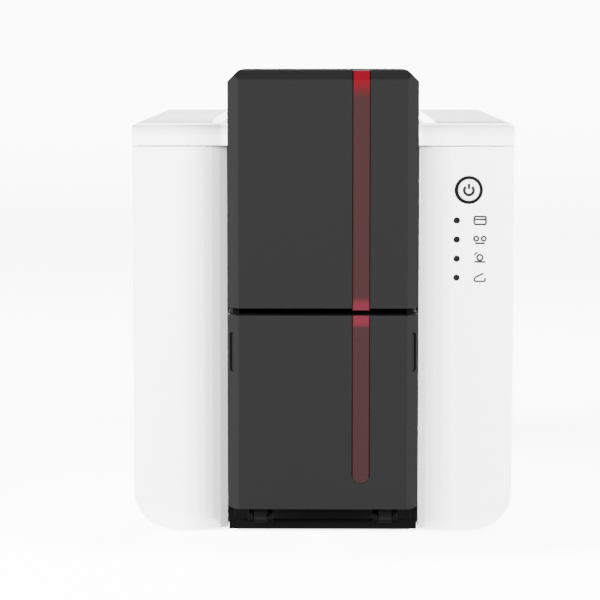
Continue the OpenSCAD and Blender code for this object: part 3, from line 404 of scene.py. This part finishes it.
def pull_edges(shape, edges, step):
    """Draws edges out into a strip of faces, and gives the new edges at its end."""
    out = bmesh.ops.extrude_edge_only(shape, edges=edges)["geom"]
    bmesh.ops.translate(shape, verts=[v for v in out if isinstance(v, bmesh.types.BMVert)], vec=step)
    return [g for g in out if isinstance(g, bmesh.types.BMEdge)]


# --- rounded copies of the CAD parts ---

# node: width of its rounded edges in mm
ROUNDED = {
    "side_shell_left": 0.4, "side_shell_right": 0.4, "top_cover": 0.45, "feeder_cover": 0.4,
    "hopper_door": 0.4, "hopper_housing": 0.3, "feeder_window": 0.12, "hopper_window": 0.12,
    "button_ring": 0.25, "power_button": 0.35, "rear_panel": 0.3, "reject_tray": 0.4,
    "rubber_feet": 0.4, "inner_deck": 0.2, "feeder_housing": 0.25,
}
EDGE_SEGMENTS = 2
WELD = 0.002 * MM
FLAT_TURN = math.radians(0.6)
EDGE_TURN = math.radians(28)
CREASE_TURN = math.radians(35)

# the white front rolls back between these distances from the middle plane; -1 is the left side
ROLLED = {"side_shell_left", "side_shell_right", "top_cover"}
ROLL_START = {-1: 78 * MM, 1: 69 * MM}
ROLL_END = 51 * MM
ROLL_RADIUS = 115 * MM
ROLL_STEPS = 14
ROLL_BACK = -72 * MM
ROLL_FADE = 10 * MM


def roll_front(shape):
    """Rolls the white front back a little towards the black module, as the shading in the photo shows."""
    for i in range(ROLL_STEPS):
        for side in (-1, 1):
            cut = ROLL_START[side] + (ROLL_END - ROLL_START[side]) * i / ROLL_STEPS
            geometry = list(shape.verts) + list(shape.edges) + list(shape.faces)
            bmesh.ops.bisect_plane(shape, geom=geometry, dist=0.0005 * MM, plane_co=(side * cut, 0, 0),
                                   plane_no=(1, 0, 0))
    for v in shape.verts:
        start = ROLL_START[-1 if v.co.x < 0 else 1]
        past = min(max(0.0, start - abs(v.co.x)), start - ROLL_END)
        reach = min(1.0, max(0.0, (ROLL_BACK - v.co.y) / ROLL_FADE))
        v.co.y += past ** 2 / (2 * ROLL_RADIUS) * reach


def softened(node, name, finish, width):
    """A copy of a CAD node with its triangles joined and its sharp edges rounded."""
    shape = bmesh.new()
    shape.from_mesh(frame["nodes"][node].data)
    bmesh.ops.remove_doubles(shape, verts=shape.verts, dist=WELD)
    bmesh.ops.dissolve_limit(shape, angle_limit=FLAT_TURN, verts=shape.verts, edges=shape.edges,
                             use_dissolve_boundaries=False)
    if node in ROLLED:
        roll_front(shape)
    sharp = [e for e in shape.edges if len(e.link_faces) == 2 and e.calc_face_angle(0) > EDGE_TURN]
    bmesh.ops.bevel(shape, geom=sharp, offset=width, offset_type="OFFSET", segments=EDGE_SEGMENTS,
                    profile=0.5, affect="EDGES", clamp_overlap=True, material=-1)
    many_sided = [f for f in shape.faces if len(f.verts) > 4]
    bmesh.ops.triangulate(shape, faces=many_sided)
    item = piece_from(shape, name, finish)
    item.data.set_sharp_from_angle(angle=CREASE_TURN)
    for face in item.data.polygons:
        face.use_smooth = True
    even = item.modifiers.new("even_shading", "WEIGHTED_NORMAL")
    even.keep_sharp = True
    even.weight = 100
    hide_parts(node)
    return item


# parts of the black module given the darker, duller, coarser-grained inner finish instead of their slot's, as
# painted shade where they sit in shade
SHADED_BLACK_PARTS = {"hopper_housing", "feeder_housing", "base_tray"}


def dress_parts(finishes):
    """Gives each CAD node its finish, and a rounded copy where its edges show."""
    slot_of = {s["node"]: s["material_slot"] for s in frame["record"]["subparts"]}
    body_of = {node: name for name, nodes in frame["record"]["behaviour"]["bodies"].items() for node in nodes}
    for node, slot in slot_of.items():
        # parts in shade take the darker inner finish: painted shade
        finish = finishes["black_inner" if node in SHADED_BLACK_PARTS else slot]
        mesh = frame["nodes"][node].data
        mesh.materials.clear()
        mesh.materials.append(finish)
        if node in ROUNDED:
            copy = softened(node, node + "_rounded", finish, ROUNDED[node] * MM)
            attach(copy, body_of[node])


# --- black strips put in the gaps as painted shade: they stop light there so that the gaps stay dark ---

# in mm: how far from the middle each side of a strip is, its front and back, its foot and top
GAP_STRIP = ((50.85, 51.28), (-86.3, -74.5), (13, 206.5))
WINDOW_STRIP = ((4.0, 6.6), (-187.79, -187.2), (133, 243))
STRIP_EDGE = 0.05 * MM


def side_strip(name, finish, middle, side, extent):
    """A strip on one side of a middle plane, with its edges taken off."""
    reach, depth, height = extent
    left, right = sorted(middle + side * r * MM for r in reach)
    low = Vector((left, depth[0] * MM, height[0] * MM))
    high = Vector((right, depth[1] * MM, height[1] * MM))
    shape = bmesh.new()
    bmesh.ops.create_cube(shape, size=1.0)
    bmesh.ops.scale(shape, verts=shape.verts, vec=high - low)
    bmesh.ops.translate(shape, verts=shape.verts, vec=(low + high) / 2)
    bmesh.ops.bevel(shape, geom=list(shape.edges), offset=STRIP_EDGE, offset_type="OFFSET", segments=2,
                    profile=0.5, affect="EDGES", clamp_overlap=True, material=-1)
    return piece_from(shape, name, finish)


def line_the_gaps(rubber):
    """Two strips on the shells' return walls, and two behind the feeder's window, as painted shade in the
    gaps.
    """
    for side, name in ((-1, "left"), (1, "right")):
        strip = side_strip(f"gap_shade_strip_{name}", rubber, 0, side, GAP_STRIP)
        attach(strip, "chassis")
        strip = side_strip(f"window_shade_strip_{name}", rubber, WINDOW_MIDDLE, side, WINDOW_STRIP)
        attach(strip, "hood")


# --- printed symbols: strokes in mm about the symbol's own middle, as (across, up) ---

INK = 1.1
PRINT_DEPTH = 0.03
STROKE_WELD = 0.0005


def stroke_arc(shape, middle, radius, width, start, sweep, steps):
    """A curved stroke: a short radial edge spun about the Y axis. Angles run from +X to +Z."""
    a = math.radians(start)
    ends = [shape.verts.new((middle[0] + r * math.cos(a), 0, middle[1] + r * math.sin(a)))
            for r in (radius - width / 2, radius + width / 2)]
    edge = shape.edges.new(ends)
    bmesh.ops.spin(shape, geom=ends + [edge], cent=(middle[0], 0, middle[1]), axis=(0, -1, 0),
                   angle=math.radians(sweep), steps=steps, use_duplicate=False)
    bmesh.ops.remove_doubles(shape, verts=shape.verts, dist=STROKE_WELD)


def stroke_line(shape, first, last, width, steps=4):
    """A straight stroke from first to last, in steps, so that it can follow a curved face."""
    along = Vector((last[0] - first[0], 0, last[1] - first[1]))
    side = Vector((-along.z, 0, along.x)).normalized() * width / 2
    start = Vector((first[0], 0, first[1]))
    ends = [shape.verts.new(start - side), shape.verts.new(start + side)]
    edges = [shape.edges.new(ends)]
    for _ in range(steps):
        edges = pull_edges(shape, edges, along / steps)


def draw_stored_card(shape):
    w, h, r = 3.1, 2.1, 0.7
    for sx, sz, start in ((1, 1, 0), (-1, 1, 90), (-1, -1, 180), (1, -1, 270)):
        stroke_arc(shape, (sx * (w - r), sz * (h - r)), r, INK, start, 90, 6)
    for sz in (-1, 1):
        stroke_line(shape, (-w + r, sz * h), (w - r, sz * h), INK)
    for sx in (-1, 1):
        stroke_line(shape, (sx * w, -h + r), (sx * w, h - r), INK)
    stroke_line(shape, (-2.9, 0.5), (2.9, 0.5), INK)


def draw_ribbon(shape):
    for side in (-1, 1):
        stroke_arc(shape, (side * 2.0, 0.6), 1.15, INK, 0, 360, 20)
    stroke_line(shape, (-2.7, -1.9), (2.7, -1.9), INK)


def draw_roller(shape):
    stroke_arc(shape, (0, 0.7), 1.5, INK, 0, 360, 24)
    stroke_line(shape, (-3.0, -1.6), (3.0, -1.6), INK)
    stroke_arc(shape, (0, 0.7), 3.1, 0.8 * INK, 110, 50, 8)


def draw_lifted_lid(shape):
    stroke_line(shape, (-2.8, -2.0), (2.8, -2.0), INK)
    for side in (-1, 1):
        stroke_line(shape, (side * 2.8, -2.0), (side * 2.8, 0), INK)
    stroke_line(shape, (-2.8, 0), (1.9, 2.3), INK)


def draw_power(shape):
    stroke_arc(shape, (0, -0.15), 2.5, 1.6, 130, 280, 40)
    stroke_line(shape, (0, 0.5), (0, 3.4), 1.5)


def drawing(draw, place):
    """The strokes of one symbol, thickened towards the viewer and set at a place in metres."""
    shape = bmesh.new()
    draw(shape)
    out = bmesh.ops.extrude_face_region(shape, geom=list(shape.faces))["geom"]
    front = [v for v in out if isinstance(v, bmesh.types.BMVert)]
    bmesh.ops.translate(shape, verts=front, vec=(0, -PRINT_DEPTH, 0))
    bmesh.ops.recalc_face_normals(shape, faces=shape.faces)
    bmesh.ops.scale(shape, verts=shape.verts, vec=(MM, MM, MM))
    bmesh.ops.translate(shape, verts=shape.verts, vec=place)
    return shape


SYMBOL_X = 83.6 * MM
LIGHT_ROWS = [168.4 * MM, 158.1 * MM, 147.9 * MM, 137.8 * MM]
IN_FRONT = -300 * MM
SHELL_GAP = 0.02 * MM
BUTTON_GAP = 0.005 * MM


def print_symbols(finish):
    """Four small drawings, laid on the right shell's curved front beside the lights."""
    wall = frame["nodes"]["side_shell_right"].data
    shell = BVHTree.FromPolygons([v.co for v in wall.vertices], [f.vertices for f in wall.polygons])
    drawings = [draw_stored_card, draw_ribbon, draw_roller, draw_lifted_lid]
    for number, (draw, z) in enumerate(zip(drawings, LIGHT_ROWS), 1):
        shape = drawing(draw, (SYMBOL_X, 0, z))
        for v in shape.verts:
            hit = shell.ray_cast(Vector((v.co.x, IN_FRONT, v.co.z)), Vector((0, 1, 0)))[0]
            v.co.y += hit.y - SHELL_GAP
        mark = piece_from(shape, f"panel_symbol_{number}", finish)
        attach(mark, "chassis")


def print_power_symbol(finish):
    lo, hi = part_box("power_button")
    shape = drawing(draw_power, ((lo[0] + hi[0]) / 2, lo[1] - BUTTON_GAP, (lo[2] + hi[2]) / 2))
    mark = piece_from(shape, "power_symbol", finish)
    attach(mark, "button")


def main():
    set_camera()
    light_studio()
    finishes = make_finishes()
    lay_floor(floor_finish())
    dress_parts(finishes)
    line_the_gaps(finishes["rubber"])
    print_symbols(ink_finish())
    print_power_symbol(finishes["ring"])


main()
